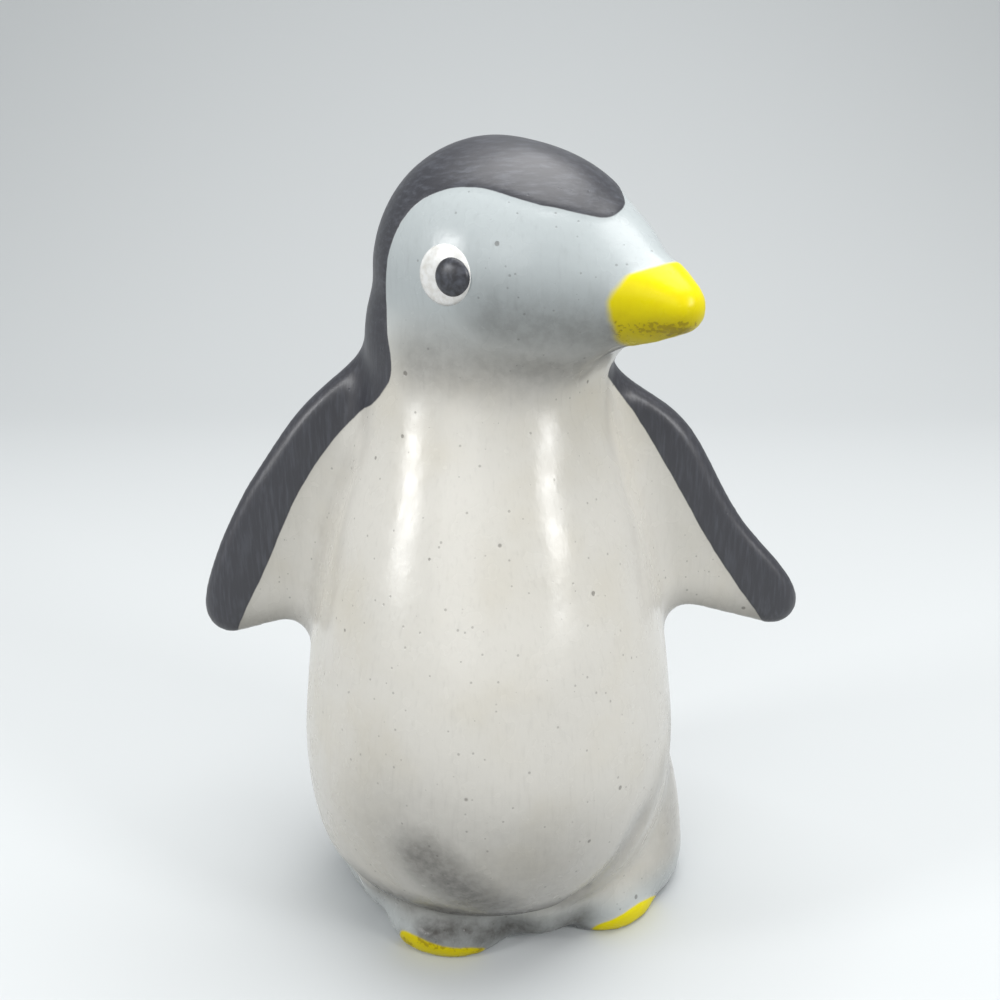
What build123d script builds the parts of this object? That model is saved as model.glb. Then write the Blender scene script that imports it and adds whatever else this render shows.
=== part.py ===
from build123d import *
from functools import cache
from math import cos, radians, sin
import os

os.makedirs("parts", exist_ok=True)

# The figure stands on z = 0 and faces -Y, with its head turned towards +X.
# Lengths are in millimetres and angles in degrees. Left and right are the bird's own: its left is +X.

# Whole figure
figure_height = 180.0
neck_height = 130.0  # the flat joint between the torso and the neck
clay_wall = 4.5
paint = 0.4  # a coat of black or yellow paint
margin = 30.0  # overrun of the shapes that cut or bound

# Trunk, the chest and belly
trunk_half_width = 44.5
belly_reach = 53.0
back_reach = 38.0

# Haunches, the lower body from the ground up into the trunk
haunch_height = 58.0
haunch_half_width = 44.6
haunch_front = 32.5
haunch_back = 37.5
haunch_shift = 6.0  # they lean to the bird's left
vent_diameter = 8.0
arch_half_width = 9.0
arch_height = 4.0
arch_depth = 8.0
arch_x = 16.0

# Neck, the column that runs up into the skull
neck_rise = 3.5  # above the middle of the skull
neck_half_width = 27.0
neck_front = 25.0
neck_back = 26.0

# Head and beak, one teardrop
head_turn = 48.0
head_droop = 5.0
skull_radius = 27.1
skull_x = 1.8
skull_y = -0.2
head_back = 25.8
head_front = 52.4
beak_seat = 39.8  # from the middle of the skull
beak_seat_tilt = 22.0
beak_swell = 0.5  # the beak stands proud of the face

# Eyes
eye_turn = 68.0  # round the head from the beak
eye_lift = 1.6
eye_diameter = 12.0
eye_raise = 0.4
pupil_diameter = 8.0
pupil_raise = 0.9
pupil_shift = 1.9  # towards the beak

# Flippers
flipper_y = 2.0
flipper_root = 8.0  # buried in the trunk
flipper_rise = 8.0  # above the neck joint
flipper_thickness = 9.0
flipper_hem_tilt = 15.0
right_flipper_hem = 64.0
right_flipper_reach = 67.8
left_flipper_hem = 66.9
left_flipper_reach = 73.3

# Feet
foot_height = 13.0
foot_back = 14.0
right_foot_x = -8.5
right_foot_y = -24.5
right_foot_half_width = 15.0
right_foot_toe = 13.0
right_foot_turn = -4.0
left_foot_x = 28.4
left_foot_y = -16.9
left_foot_half_width = 13.0
left_foot_toe = 11.0
left_foot_turn = 40.0
toe_paint_bottom = 0.6
toe_paint_top = 4.4
toe_paint_half_width = 11.0

# Tail
tail_reach = 47.0
tail_root = 20.0
tail_height = 16.0
tail_half_width = 12.0

quarter = 90.0  # degrees in each quarter of an oval

# The origin lies on the ground, under the middle of the box that holds the figure
axis_x = (right_flipper_reach - left_flipper_reach) / 2
axis_y = (belly_reach - tail_reach) / 2
ground = Plane((axis_x, axis_y, 0))
skull_z = figure_height - paint - skull_radius
neck_top = skull_z + neck_rise
flipper_top = neck_height + flipper_rise

# Rows of the body's egg-shaped sections: height, sideways shift, half width, front and back
trunk_shares = (
    (0.038, 0, 0.68, 0.50, 0.63),
    (0.062, 0, 0.78, 0.61, 0.74),
    (0.085, 0, 0.84, 0.69, 0.82),
    (0.115, 0, 0.90, 0.77, 0.89),
    (0.155, 0, 0.945, 0.845, 0.95),
    (0.25, 0, 0.995, 0.96, 1.00),
    (0.355, 0, 1.00, 1.00, 0.99),
    (0.46, 0, 0.97, 0.965, 0.95),
    (0.56, 0, 0.925, 0.905, 0.905),
    (0.66, 0, 0.865, 0.815, 0.845),
    (0.755, 0, 0.80, 0.715, 0.78),
    (0.85, 0, 0.705, 0.605, 0.72),
    (0.94, 0, 0.635, 0.51, 0.69),
    (1.0, 0, 0.607, 0.472, 0.684),
)
haunch_shares = (
    (0, 1.0, 0.885, 0.85, 0.83),
    (0.03, 1.0, 0.945, 0.91, 0.90),
    (0.10, 0.93, 0.98, 0.965, 0.96),
    (0.24, 0.70, 1.00, 1.00, 1.00),
    (0.45, 0.45, 0.995, 1.00, 1.00),
    (0.70, 0.20, 0.93, 0.94, 0.95),
    (1.0, 0, 0.78, 0.80, 0.82),
)
neck_shares = (
    (0, 0, 1.0, 1.0, 1.0),
    (0.27, -0.17, 1.0, 0.985, 1.0),
    (0.54, 0, 0.975, 0.96, 0.975),
    (0.77, 0.44, 0.925, 0.90, 0.92),
    (1.0, 0.83, 0.815, 0.80, 0.825),
)

# The teardrop from the skull's widest ring to the beak: along the head and outwards
face_shares = (
    (0.30, 0.92),
    (0.485, 0.755),
    (0.68, 0.415),
    (0.81, 0.255),
    (0.93, 0.175),
)

# How far the two middle poles of a Bezier curve lie along its ends' tangents, for a quarter of an oval
round_share = 0.5523

# Lower edge of the black hood on the side of the head: along and up, in skull radii
hood_shares = (
    (-0.30, -1.00),
    (-0.14, -0.70),
    (-0.27, -0.20),
    (-0.19, 0.30),
    (0.05, 0.59),
    (0.38, 0.67),
    (0.78, 0.61),
    (1.16, 0.53),
)

# Edge of the black mantle on the back: sideways in half widths, up in shares of the neck's height
mantle_shares = (
    (1.05, 0.54),
    (0.82, 0.34),
    (0.55, 0.16),
    (0.40, 0),
)

# Rows of the flippers' sections: height from hem to top, right reach, left reach and thickness
flipper_shares = (
    (0, 0.90, 0.907, 0.30),
    (0.015, 0.965, 0.968, 0.55),
    (0.045, 0.993, 0.994, 0.72),
    (0.10, 1.0, 1.0, 0.78),
    (0.20, 0.963, 0.95, 0.80),
    (0.34, 0.892, 0.836, 0.84),
    (0.48, 0.822, 0.753, 0.89),
    (0.62, 0.74, 0.679, 0.94),
    (0.74, 0.652, 0.585, 0.98),
    (0.84, 0.538, 0.445, 1.0),
    (0.92, 0.442, 0.368, 0.97),
    (1.0, 0.37, 0.32, 0.90),
)

# Inner edge of the black band on the front of the flippers: height and reach
right_band_shares = (
    (0, 0.904),
    (0.127, 0.848),
    (0.231, 0.788),
    (0.401, 0.706),
    (0.568, 0.609),
    (0.714, 0.479),
    (0.851, 0.326),
    (1.0, 0.20),
)
left_band_shares = (
    (0, 0.913),
    (0.139, 0.816),
    (0.30, 0.709),
    (0.4915, 0.603),
    (0.724, 0.469),
    (0.859, 0.363),
    (1.0, 0.25),
)

# Rows of the feet: height, half width and length
foot_shares = (
    (0, 0.94, 0.92),
    (0.22, 1.0, 1.0),
    (0.50, 0.95, 0.93),
    (0.78, 0.78, 0.72),
    (1.0, 0.50, 0.40),
)

# Rows of the tail: along it, half width and height
tail_shares = (
    (0, 1.0, 1.0),
    (0.55, 0.86, 0.74),
    (0.82, 0.60, 0.48),
    (1.0, 0.26, 0.24),
)


def egg(plane, shift, half_width, front, back):
    """A flat section of four quarter ellipses that meet at the flanks, the front and the back."""
    with BuildSketch(plane) as section:
        with BuildLine():
            EllipticalCenterArc((shift, 0), half_width, back, start_angle=0, arc_size=quarter)
            EllipticalCenterArc((shift, 0), half_width, back, start_angle=quarter, arc_size=quarter)
            EllipticalCenterArc((shift, 0), half_width, front, start_angle=2 * quarter, arc_size=quarter)
            EllipticalCenterArc((shift, 0), half_width, front, start_angle=3 * quarter, arc_size=quarter)
        make_face()
    return section.sketch


@cache
def trunk_form(grow):
    """Chest and belly, with the sides grown outwards. A shape that shrinks also starts higher."""
    floor = max(0, -grow)
    with BuildPart() as form:
        loft(
            [
                egg(
                    ground.offset(height * neck_height + floor * (1 - height)),
                    shift * haunch_shift,
                    width * trunk_half_width + grow,
                    front * belly_reach + grow,
                    back * back_reach + grow,
                )
                for height, shift, width, front, back in trunk_shares
            ]
        )
    return form.part


@cache
def haunch_form(grow):
    """The lower body, from the ground up into the trunk."""
    floor = max(0, -grow)
    with BuildPart() as form:
        loft(
            [
                egg(
                    ground.offset(height * haunch_height + floor * (1 - height)),
                    shift * haunch_shift,
                    width * haunch_half_width + grow,
                    front * haunch_front + grow,
                    back * haunch_back + grow,
                )
                for height, shift, width, front, back in haunch_shares
            ]
        )
    return form.part


@cache
def body_form(grow):
    """Everything below the neck joint, but for the limbs."""
    with BuildPart() as form:
        add(trunk_form(grow))
        add(haunch_form(grow))
    return form.part


def head_plane():
    """The head's own plane: x along the beak, y up the face, z out to the bird's right."""
    droop = radians(head_droop)
    turn = radians(head_turn)
    along = Vector(sin(turn) * cos(droop), -cos(turn) * cos(droop), -sin(droop))
    side = Vector(-cos(turn), -sin(turn), 0)
    middle = ground.from_local_coords(Vector(skull_x, skull_y, skull_z))
    return Plane(origin=middle, x_dir=along, z_dir=side)


@cache
def teardrop_form(grow):
    """Skull, face and beak, turned about the line of the beak."""
    back = head_back + grow
    radius = skull_radius + grow
    front = head_front + grow
    with BuildPart() as form:
        with BuildSketch(head_plane()):
            with BuildLine():
                Bezier((-back, 0), (-back, round_share * radius), (-round_share * back, radius), (0, radius))
                face = [(along * head_front, out * skull_radius + grow) for along, out in face_shares]
                Spline((0, radius), *face, (front, 0), tangents=((1, 0), (0, -1)))
                Line((-back, 0), (front, 0))
            make_face()
        revolve(axis=Axis(head_plane().origin, head_plane().x_dir))
    return form.part


@cache
def head_form(grow):
    """Teardrop and neck, cut flat at the neck joint."""
    rise = neck_top - neck_height
    with BuildPart() as form:
        add(teardrop_form(grow))
        loft(
            [
                egg(
                    ground.offset(neck_height + height * rise),
                    shift * skull_x,
                    width * neck_half_width + grow,
                    front * neck_front + grow,
                    back * neck_back + grow,
                )
                for height, shift, width, front, back in neck_shares
            ]
        )
        split(bisect_by=ground.offset(neck_height), keep=Keep.TOP)
    return form.part


def beak_seat_plane():
    """The flat joint of the beak, which leans forwards at the top of the face."""
    head = head_plane()
    lean = radians(beak_seat_tilt)
    normal = head.x_dir * cos(lean) - head.y_dir * sin(lean)
    return Plane(origin=head.origin + head.x_dir * beak_seat, x_dir=head.z_dir, z_dir=normal)


def hood_space():
    """The space above and behind the edge of the hood, right across the head."""
    far = skull_radius + margin
    with BuildPart() as form:
        with BuildSketch(head_plane()):
            with BuildLine():
                edge = [(along * skull_radius, up * skull_radius) for along, up in hood_shares]
                Spline(*edge)
                Polyline(edge[-1], (edge[-1][0], far), (-far, far), (-far, -far), (edge[0][0], -far), edge[0])
            make_face()
        extrude(amount=far, both=True)
    return form.part


def forward_plane(y):
    """An upright plane that faces forwards, at this distance behind the trunk's middle."""
    return Plane(origin=ground.from_local_coords(Vector(0, y, 0)), x_dir=(1, 0, 0), z_dir=(0, -1, 0))


@cache
def flipper_form(side, grow):
    """One flipper, from its hem up into the neck: a stack of slots that tilt near the hem."""
    if side < 0:
        hem, reach = right_flipper_hem, right_flipper_reach
    else:
        hem, reach = left_flipper_hem, left_flipper_reach
    sections = []
    for height, right_out, left_out, thickness in flipper_shares:
        out = right_out if side < 0 else left_out
        tilt = radians(flipper_hem_tilt) * (1 - height)
        edge = ground.from_local_coords(
            Vector(side * out * reach, flipper_y, hem + height * (flipper_top - hem) - grow * (1 - height))
        )
        inwards = Vector(-side * cos(tilt), 0, sin(tilt))
        upwards = Vector(side * sin(tilt), 0, cos(tilt))
        length = out * reach - flipper_root
        with BuildSketch(Plane(origin=edge, x_dir=inwards, z_dir=upwards)) as section:
            with Locations((length / 2, 0)):
                SlotOverall(length + 2 * grow, thickness * flipper_thickness + 2 * grow)
        sections.append(section.sketch)
    with BuildPart() as form:
        loft(sections)
    return form.part


@cache
def flipper_front(side):
    """The space in front of a flipper, inside the black band of its edge."""
    if side < 0:
        hem, reach, rows = right_flipper_hem, right_flipper_reach, right_band_shares
    else:
        hem, reach, rows = left_flipper_hem, left_flipper_reach, left_band_shares
    with BuildPart() as form:
        with BuildSketch(forward_plane(flipper_y)):
            with BuildLine():
                edge = [(side * out * reach, hem + height * (flipper_top - hem)) for height, out in rows]
                Spline(*edge)
                Polyline(
                    edge[-1],
                    (0, flipper_top),
                    (0, hem - margin),
                    (side * rows[0][1] * reach, hem - margin),
                    edge[0],
                )
            make_face()
        extrude(amount=margin)
    return form.part


def sole_plane(side):
    """The ground under one foot, with y to the heel."""
    if side < 0:
        place, turn = Vector(right_foot_x, right_foot_y, 0), radians(right_foot_turn)
    else:
        place, turn = Vector(left_foot_x, left_foot_y, 0), radians(left_foot_turn)
    return Plane(origin=ground.from_local_coords(place), x_dir=(cos(turn), sin(turn), 0), z_dir=(0, 0, 1))


@cache
def foot_form(side, grow):
    """One foot: a blunt lobe with a flat sole."""
    if side < 0:
        half_width, toe = right_foot_half_width, right_foot_toe
    else:
        half_width, toe = left_foot_half_width, left_foot_toe
    with BuildPart() as form:
        loft(
            [
                egg(
                    sole_plane(side).offset(height * foot_height),
                    0,
                    width * half_width + grow,
                    length * toe + grow,
                    length * foot_back + grow,
                )
                for height, width, length in foot_shares
            ]
        )
    return form.part


@cache
def tail_form():
    """The stub of a tail, flat on the ground."""
    sections = []
    for along, width, height in tail_shares:
        with BuildSketch(forward_plane(tail_root + along * (tail_reach - tail_root))) as section:
            with BuildLine():
                half_width = width * tail_half_width
                top = height * tail_height
                EllipticalCenterArc((0, 0), half_width, top, start_angle=0, arc_size=quarter)
                EllipticalCenterArc((0, 0), half_width, top, start_angle=quarter, arc_size=quarter)
                Line((-half_width, 0), (half_width, 0))
            make_face()
        sections.append(section.sketch)
    with BuildPart() as form:
        loft(sections)
    return form.part


def eye_plane(side, forwards):
    """Looks out through an eye from inside the skull, moved towards the beak."""
    head = head_plane()
    turn = radians(eye_turn)
    outwards = head.x_dir * cos(turn) + head.z_dir * (-side * sin(turn))
    towards_beak = head.x_dir * sin(turn) - head.z_dir * (-side * cos(turn))
    middle = head.origin + head.y_dir * eye_lift + towards_beak * forwards
    return Plane(origin=middle, x_dir=towards_beak, z_dir=outwards)


def save(piece, name):
    """Label one finished piece and write it out."""
    piece.part.label = name
    export_step(piece.part, f"parts/{name}.step")


# Torso: the hollow trunk and haunches, open at the neck, with a vent in its floor
with BuildPart() as torso:
    add(body_form(0))
    add(body_form(-clay_wall), mode=Mode.SUBTRACT)
    with BuildSketch(ground):
        with Locations((haunch_shift, 0)):
            Circle(vent_diameter / 2)
    extrude(amount=2 * clay_wall, mode=Mode.SUBTRACT)
    with BuildSketch(forward_plane(arch_depth - haunch_front)):
        with Locations((arch_x, 0)):
            Ellipse(arch_half_width, arch_height)
    extrude(amount=arch_depth + margin, mode=Mode.SUBTRACT)
save(torso, "torso")

# Head: the hollow skull, face and neck in one piece, flat at the neck and at the beak
with BuildPart() as head:
    add(head_form(0))
    add(head_form(-clay_wall), mode=Mode.SUBTRACT)
    split(bisect_by=beak_seat_plane(), keep=Keep.BOTTOM)
save(head, "head")

# Beak: solid, with its flat back on the face
with BuildPart() as beak:
    add(teardrop_form(beak_swell))
    split(bisect_by=beak_seat_plane(), keep=Keep.TOP)
save(beak, "beak")

# Flippers: solid, each cut to the trunk and neck that it is joined to
for side, name in ((-1, "right_flipper"), (1, "left_flipper")):
    with BuildPart() as flipper:
        add(flipper_form(side, 0))
        add(body_form(0), mode=Mode.SUBTRACT)
        add(head_form(0), mode=Mode.SUBTRACT)
    save(flipper, name)

# Feet: solid, each cut to the haunches
for side, name in ((-1, "right_foot"), (1, "left_foot")):
    with BuildPart() as foot:
        add(foot_form(side, 0))
        add(body_form(0), mode=Mode.SUBTRACT)
    save(foot, name)

# Tail: a solid stub behind the haunches
with BuildPart() as tail:
    add(tail_form())
    add(body_form(0), mode=Mode.SUBTRACT)
save(tail, "tail")

# Eyes: a thin white disc on the skull, and a raised black dome on the disc
for side, name in ((-1, "right"), (1, "left")):
    with BuildPart() as eye:
        with BuildSketch(eye_plane(side, 0)):
            Circle(eye_diameter / 2)
        extrude(amount=skull_radius + margin)
        add(teardrop_form(eye_raise), mode=Mode.INTERSECT)
        add(teardrop_form(0), mode=Mode.SUBTRACT)
    save(eye, f"{name}_eye")
    with BuildPart() as pupil:
        with BuildSketch(eye_plane(side, pupil_shift)):
            Circle(pupil_diameter / 2)
        extrude(amount=skull_radius + margin)
        add(teardrop_form(eye_raise + pupil_raise), mode=Mode.INTERSECT)
        add(teardrop_form(eye_raise), mode=Mode.SUBTRACT)
    save(pupil, f"{name}_pupil")

# Hood: the black coat over the crown and nape
with BuildPart() as hood:
    add(head_form(paint))
    add(head_form(0), mode=Mode.SUBTRACT)
    for side in (-1, 1):
        add(flipper_form(side, paint), mode=Mode.SUBTRACT)
    add(hood_space(), mode=Mode.INTERSECT)
save(hood, "hood_paint")

# Mantle: the black coat down the back, between the flippers
with BuildPart() as mantle:
    with BuildSketch(forward_plane(flipper_y)):
        with BuildLine():
            for side in (-1, 1):
                edge = [
                    (side * out * trunk_half_width, height * neck_height) for out, height in mantle_shares
                ]
                Spline(*edge)
                Polyline(edge[0], (edge[0][0], neck_height), (0, neck_height))
                Line(edge[-1], (0, 0))
        make_face()
    extrude(amount=-(back_reach + margin))
    add(body_form(paint), mode=Mode.INTERSECT)
    add(body_form(0), mode=Mode.SUBTRACT)
    for side in (-1, 1):
        add(flipper_form(side, paint), mode=Mode.SUBTRACT)
    add(tail_form(), mode=Mode.SUBTRACT)
save(mantle, "mantle_paint")

# Flipper coats: black behind, and round the edge in a band on the front
for side, name in ((-1, "right_flipper_paint"), (1, "left_flipper_paint")):
    with BuildPart() as coat:
        add(flipper_form(side, paint))
        add(flipper_form(side, 0), mode=Mode.SUBTRACT)
        add(flipper_front(side), mode=Mode.SUBTRACT)
        add(body_form(0), mode=Mode.SUBTRACT)
        add(head_form(0), mode=Mode.SUBTRACT)
    save(coat, name)

# Toe coats: a yellow band round the front of each foot
for side, name in ((-1, "right_toe_paint"), (1, "left_toe_paint")):
    with BuildPart() as coat:
        with BuildSketch(sole_plane(side).offset(toe_paint_bottom)):
            with Locations((0, -margin / 2)):
                Rectangle(2 * toe_paint_half_width, margin)
        extrude(amount=toe_paint_top - toe_paint_bottom)
        add(foot_form(side, paint), mode=Mode.INTERSECT)
        add(foot_form(side, 0), mode=Mode.SUBTRACT)
        add(body_form(0), mode=Mode.SUBTRACT)
    save(coat, name)
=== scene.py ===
from math import cos, pi, radians, sin

import bmesh
import bpy
import numpy as np
from bpy.props import FloatProperty, FloatVectorProperty, PointerProperty
from mathutils import Matrix, Vector, noise
from mathutils.bvhtree import BVHTree


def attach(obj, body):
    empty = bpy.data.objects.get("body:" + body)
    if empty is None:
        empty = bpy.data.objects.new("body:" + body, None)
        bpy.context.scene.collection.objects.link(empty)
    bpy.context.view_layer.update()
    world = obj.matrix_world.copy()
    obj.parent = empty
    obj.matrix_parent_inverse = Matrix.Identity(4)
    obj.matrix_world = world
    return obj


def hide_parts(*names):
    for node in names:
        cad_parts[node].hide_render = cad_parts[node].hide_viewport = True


bl_info = {
    "name": "Penguin figurine",
    "version": (1, 0, 0),
    "blender": (4, 5, 0),
    "location": "View3D > Sidebar > Figurine",
    "description": "A hand-painted clay penguin, modelled over its packed parts",
    "category": "Add Mesh",
}

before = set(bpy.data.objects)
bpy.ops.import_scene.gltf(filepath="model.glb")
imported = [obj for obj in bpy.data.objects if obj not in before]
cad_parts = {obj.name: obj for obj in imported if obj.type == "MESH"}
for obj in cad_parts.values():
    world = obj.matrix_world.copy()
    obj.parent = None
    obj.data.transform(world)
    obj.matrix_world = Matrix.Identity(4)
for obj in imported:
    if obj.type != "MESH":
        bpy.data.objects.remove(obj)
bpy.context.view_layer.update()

# Sizes are in metres. Places on the figure are written in millimetres from the foot of the trunk's axis:
# x to the bird's left, y to its back and z up. Left and right are the bird's own.
MM = 0.001
TRUNK_AXIS = Vector((-2.75, 3.0, 0)) * MM
WELD = 0.001 * MM  # corners nearer than this are one
FAR = 1e9  # further than any place on the figure

CLAY_NODES = ("torso", "head", "beak", "right_flipper", "left_flipper", "right_foot", "left_foot", "tail")
COAT_NODES = (
    "hood_paint",
    "mantle_paint",
    "right_flipper_paint",
    "left_flipper_paint",
    "right_toe_paint",
    "left_toe_paint",
)

# The vent in the base is stopped a little way in, so that the skin has no inside
VENT_PLACE = (6.0, 0)
PLUG = 4.0 * MM
PLUG_SIDES = 48

# The slip in the joints, in millimetres of height or of distance from the jaw
SLIP_FROM_GROUND = (0.5, 4)  # none below the first height, all of it above the second
SLIP_OVER_FEET = (14, 40)  # from the feet's fillet to the body's
SLIP_UNDER_JAW = (14, 34)  # from the jaw's fillet to the body's
FILLET_STEPS = 4
SMOOTH_TIMES = 5
WAVE = 16 * MM  # length of the waves that hands left

# What thumbs did to the soft clay: where, how far round, and which way it was moved
THUMB_MOVES = (
    ((27, -26, 149), 16, (0.4, -0.4, 0.9)),  # the beak sits a little higher than the cone of the face
    ((34, -27, 151), 9, (0.7, 0, 0)),  # it is full above
    ((26.5, -18, 133.5), 11, (-2.4, 0, 0.6)),  # the throat is hollow
    ((34, -29, 141), 9, (0, 0, -1.4)),  # and the beak full below
    ((37, -28, 153), 7, (0.6, 0, 0.5)),
    ((40, -34, 148), 9, (0, 0, -0.9)),  # its tip drops a little
    ((32, -21, 160), 13, (1.5, 0.2, 1.2)),  # straight forehead
    ((-64, 1, 90), 36, (-2.4, 0, 0.6)),  # the flippers spread
    ((68, 1, 80), 30, (1.4, 0, -0.6)),
    ((-11, -37, 7), 9, (-0.2, -1.0, 0.5)),  # plump toes
    ((29, -28, 8), 9, (0.7, -1.1, 0.6)),
    ((13, -30, 3), 12, (0, -3.2, 0)),  # the rim comes forward between the feet
    ((14.5, -31, -1), 8, (0, -3.0, 0)),
    ((-27, -23, 6), 10, (-2.0, -1.2, 0)),  # it spreads beside the right foot
)

# Lines pressed in with a modelling tool: their way over the clay, half their width and how deep they go
TOOL_LINES = (
    (
        (
            (-33, -26, 15),
            (-26, -31, 11),
            (-18.5, -35.5, 10),
            (-12, -36, 9.3),
            (-2.5, -36.5, 9),
            (6.7, -37, 10),
            (15.8, -36, 11.5),
            (21, -36.5, 15.5),
        ),
        4.0,
        2.2,
    ),
    (((21, -36.5, 15.5), (27.5, -36, 23), (33, -33, 33)), 6.0, 0.9),
    (((-31, -10, 108), (-35.5, -12, 96), (-39, -12, 84), (-42, -11, 72)), 4.0, 0.9),
    (((33, -11, 108), (37, -13, 96), (40, -13, 84), (42, -12, 72)), 4.0, 0.9),
)

# Edge of the hood on the head: along the head, and round it from the crown, in degrees to the bird's right
HOOD_EDGE = (
    (-16, 215),
    (-14, 180),
    (-12, 160),
    (-9.7, 145),
    (-7.7, 135.8),
    (-4.0, 131),
    (-3.2, 127.4),
    (-3.8, 121.5),
    (-5.8, 114),
    (-7.4, 103.5),
    (-7.0, 92),
    (-6.4, 83),
    (-5.1, 72),
    (-2.8, 62),
    (1.3, 53.7),
    (6.1, 48.6),
    (10.3, 46),
    (14.4, 44.8),
    (19.6, 44.5),
    (24.6, 40.6),
    (29.2, 31),
    (31.7, 18),
    (32.2, 5),
    (30.9, -9),
    (28.0, -19),
    (23.0, -29),
    (17.0, -38),
    (10.3, -45),
    (1.3, -53.7),
    (-5.1, -72),
    (-7.0, -88),
    (-6.5, -102),
    (0, -118),
    (10, -133),
    (19, -146),
    (25, -154),
    (26, -160),
    (10, -172),
    (-8, -185),
    (-14, -215),
)

# The black on the front of each flipper: its inner edge, outwards and up, closed far outside
RIGHT_BAND = (
    (-16, 145),
    (-18.5, 137),
    (-21, 129.5),
    (-24, 125.3),
    (-32.3, 117.4),
    (-40.9, 106.6),
    (-47.5, 94.3),
    (-53, 81.7),
    (-57.1, 74),
    (-61.6, 64.8),
    (-66, 50),
    (-150, 50),
    (-150, 145),
)
LEFT_BAND = (
    (23, 145),
    (24.5, 135),
    (26, 129.4),
    (28.5, 125.9),
    (34.3, 118.5),
    (44.3, 101.8),
    (52.1, 88.1),
    (60, 76.6),
    (67, 67.5),
    (74, 52),
    (150, 52),
    (150, 145),
)

# Where the black lies besides those outlines
HOOD_BEHIND = -60  # closes the hood's outline behind the head
HOOD_HEIGHT = (122, 130)  # between these heights the hood's outline takes over from the body's
BAND_FRONT = -8.5  # nothing on a flipper lies further forward, above the shoulder
NECK_SIDE = (5, -3, 112)  # the neck is black to the left of this x, behind this y and above this z
NECK_FOOT, NECK_SLOPE = 131, 0.9  # below this height, that black draws back by this much for each mm down
JAW, JAW_SLOPE = 137, 0.5  # height that the black reaches under the jaw, and how it rises to the back
MANTLE_FRONT = 5  # the black down the back stays behind this y
MANTLE_TOP = ((-90, 200), (90, 200))  # closes its outline over the head

# Edge of the black down the back, for one side: sideways and up
MANTLE_EDGE = ((90, 73), (60, 71), (47, 69), (40, 56), (33, 42), (25, 22), (19, 8), (17, -12))

# The beak's yellow
BEAK_GIRTH = 0.42  # of the skull's radius, and more than the beak's own
BEAK_CREST, CREST_LEAN = 5, 1.4  # above this height over the beak's axis its edge leans further forwards

# Yellow of each foot: the foot's middle and turn, and the crescent's outline, across and up
TOES = (
    (
        (-8.5, -24.5),
        -4,
        (
            (-11.6, 0.4),
            (-11.6, 3.4),
            (-9.9, 4.7),
            (-6.5, 4.9),
            (-2, 4.5),
            (2.7, 3.7),
            (7.2, 2.6),
            (9, 1.4),
            (7, 0.1),
            (-1, -0.4),
            (-9, -0.4),
        ),
    ),
    (
        (28.4, -16.9),
        40,
        (
            (-10.6, 1),
            (-9.6, 3),
            (-7.2, 4.4),
            (-3.2, 5.5),
            (1.5, 5.5),
            (5, 4.6),
            (8.8, 2.8),
            (10.4, 1.2),
            (8, -0.4),
            (0, -0.4),
            (-8, -0.4),
        ),
    ),
)

# Painted shade with some soiling: darker under the belly, jaw, beak and flippers, along the creases, over the
# feet and as a painted shadow in the gap under the rim. Along which line, how far out and how much
PAINTED_SHADE_AND_SOIL = (
    (((-13, -49, 36), (-6, -49, 28), (0, -46, 20)), 15, 0.85),
    (((-18, -48, 40), (10, -50, 32)), 30, 0.3),
    # painted shade along the belly's underside and the crease below it, with some soiling
    (((-26, -32, 14), (-12, -40, 14), (4, -41, 13)), 13, 1.0),
    (((4, -41, 13), (18, -38, 14)), 11, 0.85),
    (((20, -37, 15), (33, -34, 32), (40, -22, 40)), 9, 0.35),
    (((44, -12, 16), (45, -8, 48)), 16, 0.4),
    # painted shade over the feet, where the belly shades them
    (((-14, -36, 7), (0, -34, 5), (20, -29, 5)), 8, 1.0),
    # painted shadow: a near-black patch where the gap under the rim lies in shade
    (((8, -36, 0), (21, -33, 0)), 5, 1.0),
    (((8, -33, 0), (21, -29, 1)), 6, 1.0),
    (((-20, -33, 2), (0, -36, 2)), 5, 0.6),
    # painted shade under the jaw and the beak
    (((2, -30, 145), (24, -31, 142)), 13, 0.58),
    (((-14, -22, 136), (6, -26, 134), (24, -24, 136)), 12, 0.5),
    (((27, -34, 142), (38, -36, 143)), 7, 0.8),
    # painted shade under the flipper tips and along the flipper's crease
    (((-62, -2, 64), (-44, -2, 66)), 12, 0.4),
    (((46, -2, 68), (66, -2, 68)), 12, 0.4),
    (((-31, -4, 108), (-42, -5, 74)), 9, 0.2),
)

# Where the white turns to the blue-grey face paint: from the first height up to the second. Near the ground
# the same colour is painted shade, darker towards the bottom, with a smaller share
COOL_HEAD = (128, 150)
LOW_SHADE = (5, 15)
LOW_SHADE_SHARE = 0.8

# Each opaque coat: half the width, in millimetres, over which its thickness fades; how far an unsteady
# brush moves its edge; and between which distances from that edge its colour sets in
COATS = {"black": (0.6, 1.0, -0.14, 0.14), "beak": (1.0, 4.0, -0.9, 1.1), "toe": (0.5, 1.0, -0.3, 0.3)}

SMOOTH = {"interpolation_type": "SMOOTHSTEP"}  # setting of every Map Range that eases at both ends

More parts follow.
